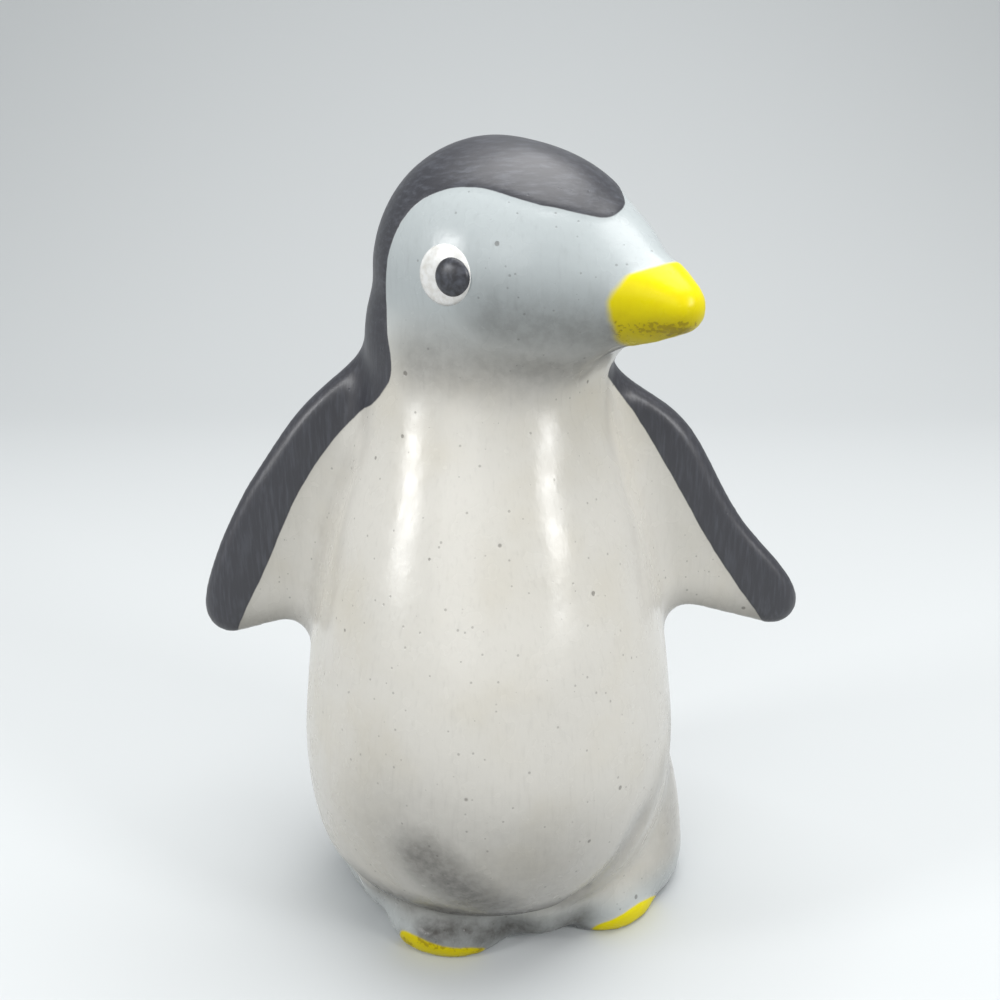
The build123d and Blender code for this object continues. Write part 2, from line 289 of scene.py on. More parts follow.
# Patterns in the paint: size in millimetres, how far each is drawn out along x, y and z, detail and roughness
PATTERNS = {
    "wobble": (4.5, (1, 1, 1), 3.0, 0.5),  # the unsteady hand
    "strokes": (0.9, (1, 1, 9), 3.0, 0.5),  # brush marks down the white
    "cloud": (22, (1, 1, 1), 3.0, 0.5),  # thick and thin white
    "shade_and_soil_mottle": (2.5, (1, 1, 1), 6.0, 0.65),  # mottling of the painted shade and soiling
    "crown_strokes": (0.6, (9, 3, 1.5), 4.0, 0.65),  # brush marks along the crown
    "back_strokes": (0.7, (1, 1, 9), 3.0, 0.5),  # and down the back and the flippers
    "thin_yellow": (3.0, (1, 1, 1), 4.0, 0.5),
    "scuffs": (0.9, (1, 1, 1), 3.0, 0.5),  # specks worn off the yellow
    "varnish": (6.0, (1, 1, 1), 2.0, 0.5),  # duller and brighter varnish
    "dabs": (1.6, (1, 1, 1), 2.0, 0.5),  # single dabs of the brush
    "dents": (5.5, (1, 1, 1), 2.0, 0.5),  # shallow dents in the clay
}
WOBBLE = 0.44  # millimetres that the edge of a coat wanders in all

# What the patterns give: between which of their values, and the share or roughness at either end
SPREADS = {
    "cloud": (0.4, 0.8, 0, 0.5),  # share of the warm white
    "strokes": (0.5, 0.9, 0, 0.1),  # share of dirt in the brush marks
    "shade_and_soil_mottle": (0.3, 0.7, 0.75, 1),  # share of the painted shade and soiling that stays
    "thin_yellow": (0.45, 0.85, 0, 0.3),  # share of the deep yellow
    "varnish": (0.3, 0.7, 0.18, 0.3),  # roughness
}
SHADE_AND_SOIL_SHARE = 0.97  # of the shade colour, where the painted shade and soiling are strongest on the white
DRY = (0.42, 0.78)  # the black's strokes run dry between these values
DRY_SHARE, DRY_CROWN_SHARE = 0.35, 0.25  # of the worn colour where they are dry, and more on the crown
YELLOW_SHADE_AND_SOIL_SHARE = 0.7  # of the shaded, soiled yellow, where the painted shade and soiling are strongest
SCUFFS = (0.24, 0.34, 0, 0.7)  # and in the specks, by how strong the painted shade and soiling are there
YELLOW_ROUGHER, BLACK_ROUGHNESS = 0.08, 0.4
SHINE, YELLOW_SHINE, BLACK_SHINE = 0.5, -0.25, 0.25  # specular level of the varnish, and what the coats add
VARNISH_IOR = 1.5

# Holes in the glaze: spacing in millimetres, which channel draws their widths, the draw that is the least
# to give one, greatest radius and rim as shares of the spacing, and how strongly they show
PINHOLES = (6.5, 0, 0.55, 0.085, 0.02, 0.55)
PRICKS = (1.9, 1, 0.35, 0.15, 0.05, 0.35)

# Heights in the bump, in shares of its distance
RELIEF = {"dabs": 0.5, "strokes": 0.6, "pinholes": -2.0, "pricks": -0.8}
BLACK_RELIEF = 0.5  # the black stands up by this and by its brush marks
DENT_RELIEF = 2.4
RELIEF_DISTANCE = 0.1 * MM
RELIEF_STRENGTH = 0.35

# The thick enamel of the eyes
ENAMEL_WAVES = 1.4 * MM
ENAMEL_WORN = (0.4, 0.8)  # values of the waves between which the second colour comes in
ENAMEL_DETAIL = 3.0
ENAMEL_RELIEF = 0.25
EYE_ROUGHNESS, PUPIL_ROUGHNESS = 0.25, 0.36

# Dabs of paint for the eyes
DAB_RINGS = 10
DAB_STEPS = 96
DAB_SUNK = 0.3 * MM
FLAT_SHOULDER, ROUND_SHOULDER = 10, 3  # a high one keeps the dab's top flat
OUTSIDE = 0.1  # metres from the head's middle, and outside the skin

# The stage, in metres
CARD_LINE = ((-2, -1.5, 0), (-2, 1.2, 0), (-2, 1.2, 2))  # the card's left edge: along the floor and up behind
CARD_WIDTH = 4
CARD_BEND = 0.7
CARD_BEND_FACES = 24
CARD_ROUGHNESS = 0.9
SENSOR = 36  # millimetres
NEAREST = 0.01  # that the camera sees
AIM = Vector((0, 0, 0.09))  # the figure's middle

# Lamps: place, width, height and which power
LAMPS = {
    "top_box": ((0.12, 0.12, 1.0), 0.9, 0.9, "key"),
    "front_box": ((-0.4, -0.95, 0.6), 0.6, 0.6, "front"),
    "left_strip": ((-0.72, -0.32, 0.42), 0.16, 0.3, "strip"),
    "right_strip": ((0.62, -0.45, 0.44), 0.18, 0.28, "strip"),
}


class ClaySizes(bpy.types.PropertyGroup):
    """Sizes of the modelled clay."""

    cell: FloatProperty(name="Cell", description="Size of the skin's faces", default=1.0 * MM, unit="LENGTH")
    fillet: FloatProperty(
        name="Fillet", description="Slip smoothed into the joints", default=4.0 * MM, unit="LENGTH"
    )
    jaw_fillet: FloatProperty(
        name="Jaw fillet", description="More slip, between jaw and chest", default=4.5 * MM, unit="LENGTH"
    )
    foot_fillet: FloatProperty(
        name="Foot fillet", description="Less slip, round the feet", default=1.2 * MM, unit="LENGTH"
    )
    uneven: FloatProperty(
        name="Unevenness", description="Height of the waves that hands left", default=0.22 * MM, unit="LENGTH"
    )
    coat: FloatProperty(
        name="Coat", description="Thickness of the opaque paint", default=0.25 * MM, unit="LENGTH"
    )
    vent: FloatProperty(
        name="Vent", description="Diameter of the hole in the base", default=8.0 * MM, unit="LENGTH"
    )
    vent_depth: FloatProperty(
        name="Vent depth", description="How deep the hole shows", default=4.0 * MM, unit="LENGTH"
    )


class HeadSizes(bpy.types.PropertyGroup):
    """Place and size of the head."""

    middle: FloatVectorProperty(
        name="Skull",
        description="Middle of the skull, from the foot of the trunk's axis",
        default=Vector((1.8, -0.2, 152.5)) * MM,
        unit="LENGTH",
    )
    radius: FloatProperty(
        name="Skull radius", description="Half the skull's width", default=27.1 * MM, unit="LENGTH"
    )
    turn: FloatProperty(
        name="Turn", description="The look to the bird's left", default=radians(48), subtype="ANGLE"
    )
    droop: FloatProperty(name="Droop", description="Beak below level", default=radians(5), subtype="ANGLE")
    eye_turn: FloatProperty(
        name="Eye turn", description="From the beak round to an eye", default=radians(69.2), subtype="ANGLE"
    )
    eye_lift: FloatProperty(
        name="Eye lift", description="Eyes above the middle", default=1.6 * MM, unit="LENGTH"
    )
    eye: FloatProperty(name="Eye", description="Diameter of the white", default=12.0 * MM, unit="LENGTH")
    eye_rise: FloatProperty(
        name="Eye rise", description="Height of the white over the skin", default=0.45 * MM, unit="LENGTH"
    )
    pupil: FloatProperty(name="Pupil", description="Diameter of the pupil", default=8.0 * MM, unit="LENGTH")
    pupil_rise: FloatProperty(
        name="Pupil rise", description="Height of the pupil over the skin", default=1.5 * MM, unit="LENGTH"
    )
    pupil_shift: FloatProperty(
        name="Pupil shift", description="Towards the beak", default=1.9 * MM, unit="LENGTH"
    )
    beak_seat: FloatProperty(
        name="Beak edge",
        description="Where the yellow starts, from the skull's middle",
        default=38.0 * MM,
        unit="LENGTH",
    )
    beak_tilt: FloatProperty(
        name="Beak edge tilt",
        description="The edge leans forwards above the beak's axis",
        default=radians(22),
        subtype="ANGLE",
    )


def linear(code):
    """A six-digit sRGB hex colour as linear red, green and blue."""
    parts = [int(code[i : i + 2], 16) / 255 for i in (0, 2, 4)]
    return tuple(p / 12.92 if p <= 0.04045 else ((p + 0.055) / 1.055) ** 2.4 for p in parts)


def colour(name, what, code):
    """A colour property, from the sRGB hex value seen on the figure."""
    return FloatVectorProperty(name=name, description=what, default=linear(code), subtype="COLOR", size=3)


class PaintColours(bpy.types.PropertyGroup):
    """Colours of the paints."""

    belly: colour("Belly", "Warm white paint", "DDDAD2")
    belly_warm: colour("Belly, warm", "Where the clay shows through the white", "D2CBB9")
    # this colour is also painted shade on the white near the ground
    face: colour("Face", "Cool white over the head", "C0C7C8")
    # painted shade as well as soiling: this dark colour darkens creases, undersides and the gap, and fills
    # brush marks and pricks
    grime: colour("Grime", "Rubbed-in dirt", "423E39")
    pit: colour("Pits", "Bottoms of the pinholes", "4A443D")
    black: colour("Black", "Charcoal paint", "2F2F36")
    black_worn: colour("Black, worn", "Charcoal where the brush ran dry", "5C5F68")
    yellow: colour("Yellow", "Beak and toes", "F7E600")
    yellow_deep: colour("Yellow, deep", "Where the yellow is thin", "E3C400")
    # partly painted shade: this yellow darkens the beak's underside and the shaded toe, with some soiling
    yellow_shaded_and_soiled: colour("Yellow, dirty", "Handled yellow, under the beak and on the toes", "8A6F0C")
    eye_white: colour("Eye white", "Thick white paint", "FAFAF8")
    pupil: colour("Pupil", "Black satin paint", "303035")
    floor: colour("Floor", "Pale floor and backdrop", "D3D6D7")
    floor_bounce: colour("Floor bounce", "Tone of the floor in the light it throws back", "7C7E80")


class StageSizes(bpy.types.PropertyGroup):
    """Camera and lamps."""

    camera_place: FloatVectorProperty(
        name="Camera", description="Where it stands", default=(-0.00005, -0.242, 0.177), unit="LENGTH"
    )
    camera_pitch: FloatProperty(
        name="Pitch", description="How far it looks down", default=radians(17.74), subtype="ANGLE"
    )
    camera_lens: FloatProperty(
        name="Lens", description="Focal length in millimetres", default=39.6, unit="CAMERA"
    )
    key: FloatProperty(name="Key", description="Power of the soft box above", default=9.0, unit="POWER")
    front: FloatProperty(
        name="Front", description="Power of the soft box in front", default=1.4, unit="POWER"
    )
    strip: FloatProperty(name="Strips", description="Power of each tall lamp", default=2.2, unit="POWER")
    world: FloatProperty(name="Room", description="Light from all round", default=0.76)


def trunk_point(*place):
    """A place on the figure, in millimetres from the foot of the trunk's axis, in the frame."""
    return Vector(place) * MM + TRUNK_AXIS


def figure_mm(places):
    """Places of the frame, in millimetres from the foot of the trunk's axis."""
    return (places - np.array(TRUNK_AXIS)) / MM


def merged_copy(*names):
    """Copies of CAD nodes in one mesh, with the triangles joined at their corners."""
    mesh = bmesh.new()
    for name in names:
        mesh.from_mesh(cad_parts[name].data)
    bmesh.ops.remove_doubles(mesh, verts=mesh.verts, dist=WELD)
    return mesh


def remeshed(mesh, cell):
    """The same form in even faces, with what overlaps joined."""
    data = bpy.data.meshes.new("clay")
    mesh.to_mesh(data)
    mesh.free()
    holder = bpy.data.objects.new("clay", data)
    bpy.context.scene.collection.objects.link(holder)
    cells = holder.modifiers.new("Cells", "REMESH")
    cells.mode = "VOXEL"
    cells.voxel_size = cell
    result = bmesh.new()
    result.from_object(holder, bpy.context.evaluated_depsgraph_get())
    bpy.data.objects.remove(holder)
    bpy.data.meshes.remove(data)
    return result


def keep_outside(mesh):
    """Delete every island but the one that holds the highest vertex, such as the hollow's own wall."""
    top = max(mesh.verts, key=lambda v: v.co.z)
    outside = {top}
    edge = [top]
    while edge:
        edge = [other for v in edge for e in v.link_edges if (other := e.other_vert(v)) not in outside]
        outside.update(edge)
        edge = list(set(edge))
    bmesh.ops.delete(mesh, geom=[v for v in mesh.verts if v not in outside], context="VERTS")


def step(value, low, high):
    """0 up to low and 1 from high, smoothly between."""
    share = np.clip((value - low) / (high - low), 0, 1)
    return share * share * (3 - 2 * share)


def swell(mesh, amount):
    """Move the skin out along its normals, by what amount says for each place."""
    mesh.normal_update()
    for v, move in zip(mesh.verts, amount(np.array([v.co for v in mesh.verts]))):
        v.co += v.normal * move


def thumb(mesh, place, reach, move):
    """Drag the clay round a place, less and less out to the reach."""
    middle, reach, move = trunk_point(*place), reach * MM, Vector(move) * MM
    for v in mesh.verts:
        near = 1 - (v.co - middle).length / reach
        if near > 0:
            v.co += move * (near * near * (3 - 2 * near))


def away_from(places, line):
    """Distance of each place from a line, in millimetres. Places are in metres, the line is not."""
    line = np.array([trunk_point(*place) for place in line])
    away = np.full(len(places), FAR)
    for start, end in zip(line, line[1:]):
        way = end - start
        share = np.clip((places - start) @ way / (way @ way), 0, 1)
        away = np.minimum(away, np.linalg.norm(places - start - share[:, None] * way, axis=1))
    return away / MM


def press(mesh, line, half_width, depth):
    """Press a line into the skin, deepest along its middle."""
    mesh.normal_update()
    far = away_from(np.array([v.co for v in mesh.verts]), line) / half_width
    for v, share in zip(mesh.verts, far):
        if share < 1:
            v.co -= v.normal * (depth * MM * (1 - share * share) ** 2)


def soft_clay(clay, head):
    """The packed clay pieces as one closed skin, with slip smoothed into every joint."""
    mesh = merged_copy(*CLAY_NODES)
    # Twice as wide as the vent, so that it overlaps the floor all round
    plug = Matrix.Translation(trunk_point(*VENT_PLACE, (clay.vent_depth + PLUG / 2) / MM))
    bmesh.ops.create_cone(
        mesh,
        cap_ends=True,
        segments=PLUG_SIDES,
        radius1=clay.vent,
        radius2=clay.vent,
        depth=PLUG,
        matrix=plug,
    )
    mesh = remeshed(mesh, clay.cell)
    keep_outside(mesh)
    jaw = np.array(Vector(head.middle) + TRUNK_AXIS - Vector((0, 0, head.radius)))

    def fillet(places):
        """Slip in the joints: more of it under the jaw, less round the feet and none on the ground."""
        height = places[:, 2] / MM
        slip = clay.foot_fillet + step(height, *SLIP_OVER_FEET) * (clay.fillet - clay.foot_fillet)
        under_jaw = 1 - step(np.linalg.norm(places - jaw, axis=1) / MM, *SLIP_UNDER_JAW)
        return step(height, *SLIP_FROM_GROUND) * (slip + under_jaw * (clay.jaw_fillet - clay.fillet))

    # Swollen and then drawn in again, the skin keeps its form and rounds every inner corner
    swell(mesh, fillet)
    mesh = remeshed(mesh, clay.cell)
    for _ in range(FILLET_STEPS):
        swell(mesh, lambda places: -fillet(places) / FILLET_STEPS)
        mesh = remeshed(mesh, clay.cell)
    return mesh


def hand_work(mesh, clay):
    """Thumb and tool marks, smoothing with a wet finger, and a base that is flat on the ground."""
    for place, reach, move in THUMB_MOVES:
        thumb(mesh, place, reach, move)
    for line, half_width, depth in TOOL_LINES:
        press(mesh, line, half_width, depth)
    for _ in range(SMOOTH_TIMES):
        bmesh.ops.smooth_vert(
            mesh, verts=mesh.verts, factor=0.5, use_axis_x=True, use_axis_y=True, use_axis_z=True
        )
    swell(mesh, lambda places: [clay.uneven * noise.noise(Vector(p) / WAVE) for p in places])
    for v in mesh.verts:
        v.co.z = max(v.co.z, 0)


def head_axes(head):
    """The head's own directions: along the beak, up the face, and out to the bird's right."""
    along = Vector((sin(head.turn) * cos(head.droop), -cos(head.turn) * cos(head.droop), -sin(head.droop)))
    right = Vector((-cos(head.turn), -sin(head.turn), 0))
    return along, right.cross(along), right


def head_chart(points, head):
    """Places on the head as length along it, angle round it from the crown, and distance from its axis."""
    along, up, right = (np.array(axis) for axis in head_axes(head))
    offset = points - np.array(Vector(head.middle) + TRUNK_AXIS)
    return offset @ along, np.arctan2(offset @ right, offset @ up), np.hypot(offset @ up, offset @ right)


def rounded(outline, times=3):
    """A closed outline with its corners cut again and again, which nears a smooth curve."""
    outline = np.array(outline)
    for _ in range(times):
        after = np.roll(outline, -1, axis=0)
        outline = np.stack((0.75 * outline + 0.25 * after, 0.25 * outline + 0.75 * after), 1).reshape(-1, 2)
    return outline


def inside(points, outline):
    """Distance of flat points from a closed outline, positive inside it."""
    nearest = np.full(len(points), FAR)
    within = np.zeros(len(points), bool)
    for start, end in zip(outline, np.roll(outline, -1, axis=0)):
        edge = end - start
        share = np.clip((points - start) @ edge / (edge @ edge), 0, 1)
        nearest = np.minimum(nearest, np.hypot(*(points - start - share[:, None] * edge).T))
        if edge[1]:
            crossing = start[0] + (points[:, 1] - start[1]) * edge[0] / edge[1]
            spans = (start[1] > points[:, 1]) != (end[1] > points[:, 1])
            within ^= spans & (points[:, 0] < crossing)
    return np.where(within, nearest, -nearest)


def black_paint(points, head):
    """How far each point lies inside the black paint, in millimetres."""
    x, y, z = figure_mm(points).T
    along, angle, _ = head_chart(points, head)
    girth = head.radius / MM
    edge = [(s, radians(a) * girth) for s, a in HOOD_EDGE]
    closing = [(HOOD_BEHIND, edge[-1][1]), (HOOD_BEHIND, edge[0][1])]
    hood = inside(np.c_[along / MM, angle * girth], rounded(edge + closing))

    front = np.c_[x, z]
    left = inside(front, rounded(LEFT_BAND))
    other_side = tuple((-out, up) for out, up in MANTLE_EDGE[::-1])
    mantle = np.minimum(inside(front, rounded(MANTLE_EDGE + other_side + MANTLE_TOP)), y - MANTLE_FRONT)
    body = np.maximum.reduce((inside(front, rounded(RIGHT_BAND)), left, mantle))

    drawn_back = NECK_SLOPE * np.maximum(0, NECK_FOOT - z)
    neck_side = np.minimum.reduce((x - NECK_SIDE[0], y - NECK_SIDE[1] - drawn_back, z - NECK_SIDE[2]))
    behind_jaw = np.minimum(np.maximum(left, neck_side), y - BAND_FRONT)
    under_jaw = JAW + JAW_SLOPE * y - z

    blend = step(z, *HOOD_HEIGHT)
    return np.maximum(body * (1 - blend) + hood * blend, np.minimum(behind_jaw, under_jaw))


def beak_paint(points, head):
    """How far each point lies inside the beak's yellow, in millimetres."""
    along, angle, out = head_chart(points, head)
    height = out * np.cos(angle)
    seat = head.beak_seat + np.maximum(0, height) * np.tan(head.beak_tilt)
    seat += CREST_LEAN * np.maximum(0, height - BEAK_CREST * MM)
    return np.minimum(along - seat, BEAK_GIRTH * head.radius - out) / MM


def toe_paint(points):
    """How far each point lies inside the yellow of the toes, in millimetres."""
    mm = figure_mm(points)
    best = np.full(len(points), -FAR)
    for middle, turn, outline in TOES:
        across = np.array((cos(radians(turn)), sin(radians(turn))))
        forward = np.array((sin(radians(turn)), -cos(radians(turn))))
        flat = mm[:, :2] - np.array(middle)
        crescent = inside(np.c_[flat @ across, mm[:, 2]], rounded(outline, times=2))
        best = np.maximum(best, np.minimum(crescent, flat @ forward))
    return best


def paint_over(data, clay, head):
    """Thicken the skin by its opaque coats, and keep on each vertex where every paint, the soiling and the
    painted shade lie.
    """
    places = np.empty(len(data.vertices) * 3)
    data.vertices.foreach_get("co", places)
    places = places.reshape(-1, 3)
    marks = {
        "black": black_paint(places, head),
        "beak": beak_paint(places, head),
        "toe": toe_paint(places),
    }
    normals = np.empty(places.size)
    data.vertices.foreach_get("normal", normals)
    covers = [step(marks[name], -fade, fade) for name, (fade, *_) in COATS.items()]
    places += clay.coat * np.maximum.reduce(covers)[:, None] * normals.reshape(-1, 3)
    places[:, 2] = np.maximum(places[:, 2], 0)
    data.vertices.foreach_set("co", places.ravel())
    data.update()

    height = figure_mm(places)[:, 2]
    # blue-grey face paint over the head, and painted shade on the white near the ground
    marks["cool"] = np.maximum(step(height, *COOL_HEAD), LOW_SHADE_SHARE * (1 - step(height, *LOW_SHADE)))
    # painted shade with some soiling, fading out from each line
    shade_and_soil_lines = [strength * (1 - step(away_from(places, line), 0, reach)) for line, reach, strength in PAINTED_SHADE_AND_SOIL]
    marks["grime"] = np.maximum.reduce(shade_and_soil_lines)
    for name, values in marks.items():
        carried = data.attributes.new(name, "FLOAT", "POINT")
        carried.data.foreach_set("value", values.astype(np.float32))


def add(tree, kind, feeds=None, output=0, **settings):
    """Add a shader node with its settings, feed its inputs with values or links, and return one output."""
    node = tree.nodes.new(kind)
    for key, value in settings.items():
        setattr(node, key, value)
    for key, feed in (feeds or {}).items():
        if isinstance(feed, bpy.types.NodeSocket):
            tree.links.new(feed, node.inputs[key])
        else:
            node.inputs[key].default_value = feed
    return node.outputs[output]


def finish_material(name):
    """A new material, its tree and its main shader."""
    material = bpy.data.materials.new(name)
    material.use_nodes = True
    return material, material.node_tree, material.node_tree.nodes["Principled BSDF"]


def rgba(value):
    """A colour property as a socket's four numbers."""
    return (*value, 1.0)


def spread(value, low, high, start=0.0, end=1.0):
    """The inputs that spread a value from low and high to start and end."""
    return {"Value": value, "From Min": low, "From Max": high, "To Min": start, "To Max": end}


def layered(tree, paint, *layers):
    """A paint with others over it, each by its share."""
    for share, over in layers:
        paint = add(tree, "ShaderNodeMix", {0: share, 6: paint, 7: over}, 2, data_type="RGBA")
    return paint


def glaze_holes(tree, place, spacing, channel, least, widest, rim, shows):
    """Round holes, 1 inside them, at most one in each cell of the spacing; and their share in the paint."""
    feeds = {"Vector": place, "Scale": 1 / (spacing * MM), "Randomness": 1.0}
    away = add(tree, "ShaderNodeTexVoronoi", feeds, "Distance")
    draw = add(tree, "ShaderNodeSeparateColor", {0: away.node.outputs["Color"]}, channel)
    width = add(tree, "ShaderNodeMapRange", spread(draw, least, 1, 0, widest), **SMOOTH)
    out = add(tree, "ShaderNodeMath", {0: away, 1: width}, operation="SUBTRACT")
    hole = add(tree, "ShaderNodeMapRange", spread(out, -rim, rim, 1, 0), **SMOOTH)
    return hole, add(tree, "ShaderNodeMath", {0: hole, 1: shows}, operation="MULTIPLY")


def paint_patterns(tree, place):
    """Every pattern in the paint as a number between 0 and 1, and what some of them give."""
    grain = {}
    for name, (size, drawn_out, detail, rough) in PATTERNS.items():
        scale = [1 / (size * MM * along) for along in drawn_out]
        spots = add(tree, "ShaderNodeMapping", {"Vector": place, "Scale": scale})
        feeds = {"Vector": spots, "Scale": 1.0, "Detail": detail, "Roughness": rough}
        grain[name] = add(tree, "ShaderNodeTexNoise", feeds)
    share = {
        name: add(tree, "ShaderNodeMapRange", spread(grain[name], *limits), **SMOOTH)
        for name, limits in SPREADS.items()
    }
    return grain, share


def coat_covers(tree, mark, wobble):
    """Where each opaque coat hides the white, 0 to 1. Its edge wanders as the brush did."""
    feeds = {0: wobble, 1: WOBBLE, 2: -WOBBLE / 2}
    wander = add(tree, "ShaderNodeMath", feeds, operation="MULTIPLY_ADD")
    cover = {}
    for name, (_, unsteady, low, high) in COATS.items():
        edge = add(tree, "ShaderNodeMath", {0: wander, 1: unsteady, 2: mark[name]}, operation="MULTIPLY_ADD")
        cover[name] = add(tree, "ShaderNodeMapRange", spread(edge, low, high), **SMOOTH)
    return cover


def white_paint(tree, paints, mark, share, mottled_shade_and_soil, pinhole_share, prick_share):
    """Warmer where it is thin, blue-grey over the head, with soiling in the brush marks and pinholes, and
    painted shade with some soiling in the creases, on the undersides and near the ground.
    """
    white_shade_and_soil = add(tree, "ShaderNodeMath", {0: mottled_shade_and_soil, 1: SHADE_AND_SOIL_SHARE}, operation="MULTIPLY")
    return layered(
        tree,
        rgba(paints.belly),
        (share["cloud"], rgba(paints.belly_warm)),
        (mark["cool"], rgba(paints.face)),
        (share["strokes"], rgba(paints.grime)),
        (white_shade_and_soil, rgba(paints.grime)),
        (pinhole_share, rgba(paints.pit)),
        (prick_share, rgba(paints.grime)),
    )


def charcoal_paint(tree, paints, mark, strokes):
    """Black that the brush left dry in streaks, more of them on the crown."""
    dry = add(tree, "ShaderNodeMapRange", spread(strokes, *DRY), **SMOOTH)
    feeds = {0: mark["cool"], 1: DRY_CROWN_SHARE, 2: DRY_SHARE}
    most = add(tree, "ShaderNodeMath", feeds, operation="MULTIPLY_ADD")
    worn = add(tree, "ShaderNodeMath", {0: dry, 1: most}, operation="MULTIPLY")
    return layered(tree, rgba(paints.black), (worn, rgba(paints.black_worn)))


def yellow_paint(tree, paints, mark, grain, share, mottled_shade_and_soil):
    """Deeper where it is thin, scuffed in specks, and brown with painted shade and some soiling under the
    beak and on the shaded toe.
    """
    specks = add(tree, "ShaderNodeMath", {0: mark["grime"], 1: grain["scuffs"]}, operation="MULTIPLY")
    scuffs = add(tree, "ShaderNodeMapRange", spread(specks, *SCUFFS), **SMOOTH)
    # painted shade with some soiling darkens the yellow
    yellow_shade_and_soil = add(tree, "ShaderNodeMath", {0: mottled_shade_and_soil, 1: YELLOW_SHADE_AND_SOIL_SHARE}, operation="MULTIPLY")
    yellow_shade_soil_and_scuffs = add(tree, "ShaderNodeMath", {0: yellow_shade_and_soil, 1: scuffs}, operation="MAXIMUM")
    return layered(
        tree,
        rgba(paints.yellow),
        (share["thin_yellow"], rgba(paints.yellow_deep)),
        (yellow_shade_soil_and_scuffs, rgba(paints.yellow_shaded_and_soiled)),
    )


def paint_relief(tree, relief, black, strokes, dents):
    """Dabs, brush marks and holes, the black's own strokes, and the clay's dents under them all."""
    height = 0.0
    for name, rise in RELIEF.items():
        height = add(tree, "ShaderNodeMath", {0: relief[name], 1: rise, 2: height}, operation="MULTIPLY_ADD")
    ridges = add(tree, "ShaderNodeMath", {0: strokes, 1: BLACK_RELIEF}, operation="ADD")
    height = add(tree, "ShaderNodeMath", {0: black, 1: ridges, 2: height}, operation="MULTIPLY_ADD")
    height = add(tree, "ShaderNodeMath", {0: dents, 1: DENT_RELIEF, 2: height}, operation="MULTIPLY_ADD")
    feeds = {"Height": height, "Strength": RELIEF_STRENGTH, "Distance": RELIEF_DISTANCE}
    return add(tree, "ShaderNodeBump", feeds)


def painted_clay(paints):
    """Earthenware in brushed acrylics under clear varnish.

    The varnish gives a soft sheen over brush marks, shallow dents, pinholes and soiling; painted shade
    darkens the creases and undersides. It is a little duller on the yellow, and satin on the black.
    """
    material, tree, shader = finish_material("Varnished painted earthenware")
    place = add(tree, "ShaderNodeTexCoord", output="Object")
    names = (*COATS, "cool", "grime")
    mark = {name: add(tree, "ShaderNodeAttribute", output="Fac", attribute_name=name) for name in names}
    grain, share = paint_patterns(tree, place)
    cover = coat_covers(tree, mark, grain["wobble"])
    black = cover["black"]
    yellow = add(tree, "ShaderNodeMath", {0: cover["beak"], 1: cover["toe"]}, operation="MAXIMUM")

    # painted shade with some soiling, broken up by the mottle
    mottled_shade_and_soil = add(tree, "ShaderNodeMath", {0: mark["grime"], 1: share["shade_and_soil_mottle"]}, operation="MULTIPLY")
    pinhole, pinhole_share = glaze_holes(tree, place, *PINHOLES)
    prick, prick_share = glaze_holes(tree, place, *PRICKS)
    feeds = {0: mark["cool"], 2: grain["back_strokes"], 3: grain["crown_strokes"]}
    strokes = add(tree, "ShaderNodeMix", feeds, data_type="FLOAT")
    coloured = layered(
        tree,
        white_paint(tree, paints, mark, share, mottled_shade_and_soil, pinhole_share, prick_share),
        (yellow, yellow_paint(tree, paints, mark, grain, share, mottled_shade_and_soil)),
        (black, charcoal_paint(tree, paints, mark, strokes)),
    )

    feeds = {0: yellow, 1: YELLOW_ROUGHER, 2: share["varnish"]}
    rough = add(tree, "ShaderNodeMath", feeds, operation="MULTIPLY_ADD")
    rough = add(tree, "ShaderNodeMix", {0: black, 2: rough, 3: BLACK_ROUGHNESS}, data_type="FLOAT")
    shine = add(tree, "ShaderNodeMath", {0: yellow, 1: YELLOW_SHINE, 2: SHINE}, operation="MULTIPLY_ADD")
    shine = add(tree, "ShaderNodeMath", {0: black, 1: BLACK_SHINE, 2: shine}, operation="MULTIPLY_ADD")
    relief = {"dabs": grain["dabs"], "strokes": grain["strokes"], "pinholes": pinhole, "pricks": prick}

    tree.links.new(coloured, shader.inputs["Base Color"])
    tree.links.new(rough, shader.inputs["Roughness"])
    tree.links.new(shine, shader.inputs["Specular IOR Level"])
    tree.links.new(paint_relief(tree, relief, black, strokes, grain["dents"]), shader.inputs["Normal"])
    shader.inputs["IOR"].default_value = VARNISH_IOR
    return material


def thick_paint(name, tint, worn, roughness):
    """Enamel put on thick with a small round brush: smooth, glossy and a little uneven."""
    material, tree, shader = finish_material(name)
    place = add(tree, "ShaderNodeTexCoord", output="Object")
    feeds = {"Vector": place, "Scale": 1 / ENAMEL_WAVES, "Detail": ENAMEL_DETAIL}
    waves = add(tree, "ShaderNodeTexNoise", feeds)
    share = add(tree, "ShaderNodeMapRange", spread(waves, *ENAMEL_WORN))
    tree.links.new(layered(tree, rgba(tint), (share, rgba(worn))), shader.inputs["Base Color"])
    shader.inputs["Roughness"].default_value = roughness
    feeds = {"Height": waves, "Strength": ENAMEL_RELIEF, "Distance": RELIEF_DISTANCE}
    bump = add(tree, "ShaderNodeBump", feeds)
    tree.links.new(bump, shader.inputs["Normal"])
    return material


def backdrop_card(paints):
    """Matt card: pale to the camera and in the varnish, and duller in the light it throws back."""
    material, tree, shader = finish_material("Matt card")
    seen = add(tree, "ShaderNodeLightPath", output="Is Camera Ray")
    rays = seen.node.outputs
    for ray in ("Is Glossy Ray", "Is Transmission Ray"):
        seen = add(tree, "ShaderNodeMath", {0: seen, 1: rays[ray]}, operation="MAXIMUM")
    tone = layered(tree, rgba(paints.floor_bounce), (seen, rgba(paints.floor)))
    tree.links.new(tone, shader.inputs["Base Color"])
    shader.inputs["Roughness"].default_value = CARD_ROUGHNESS
    return material


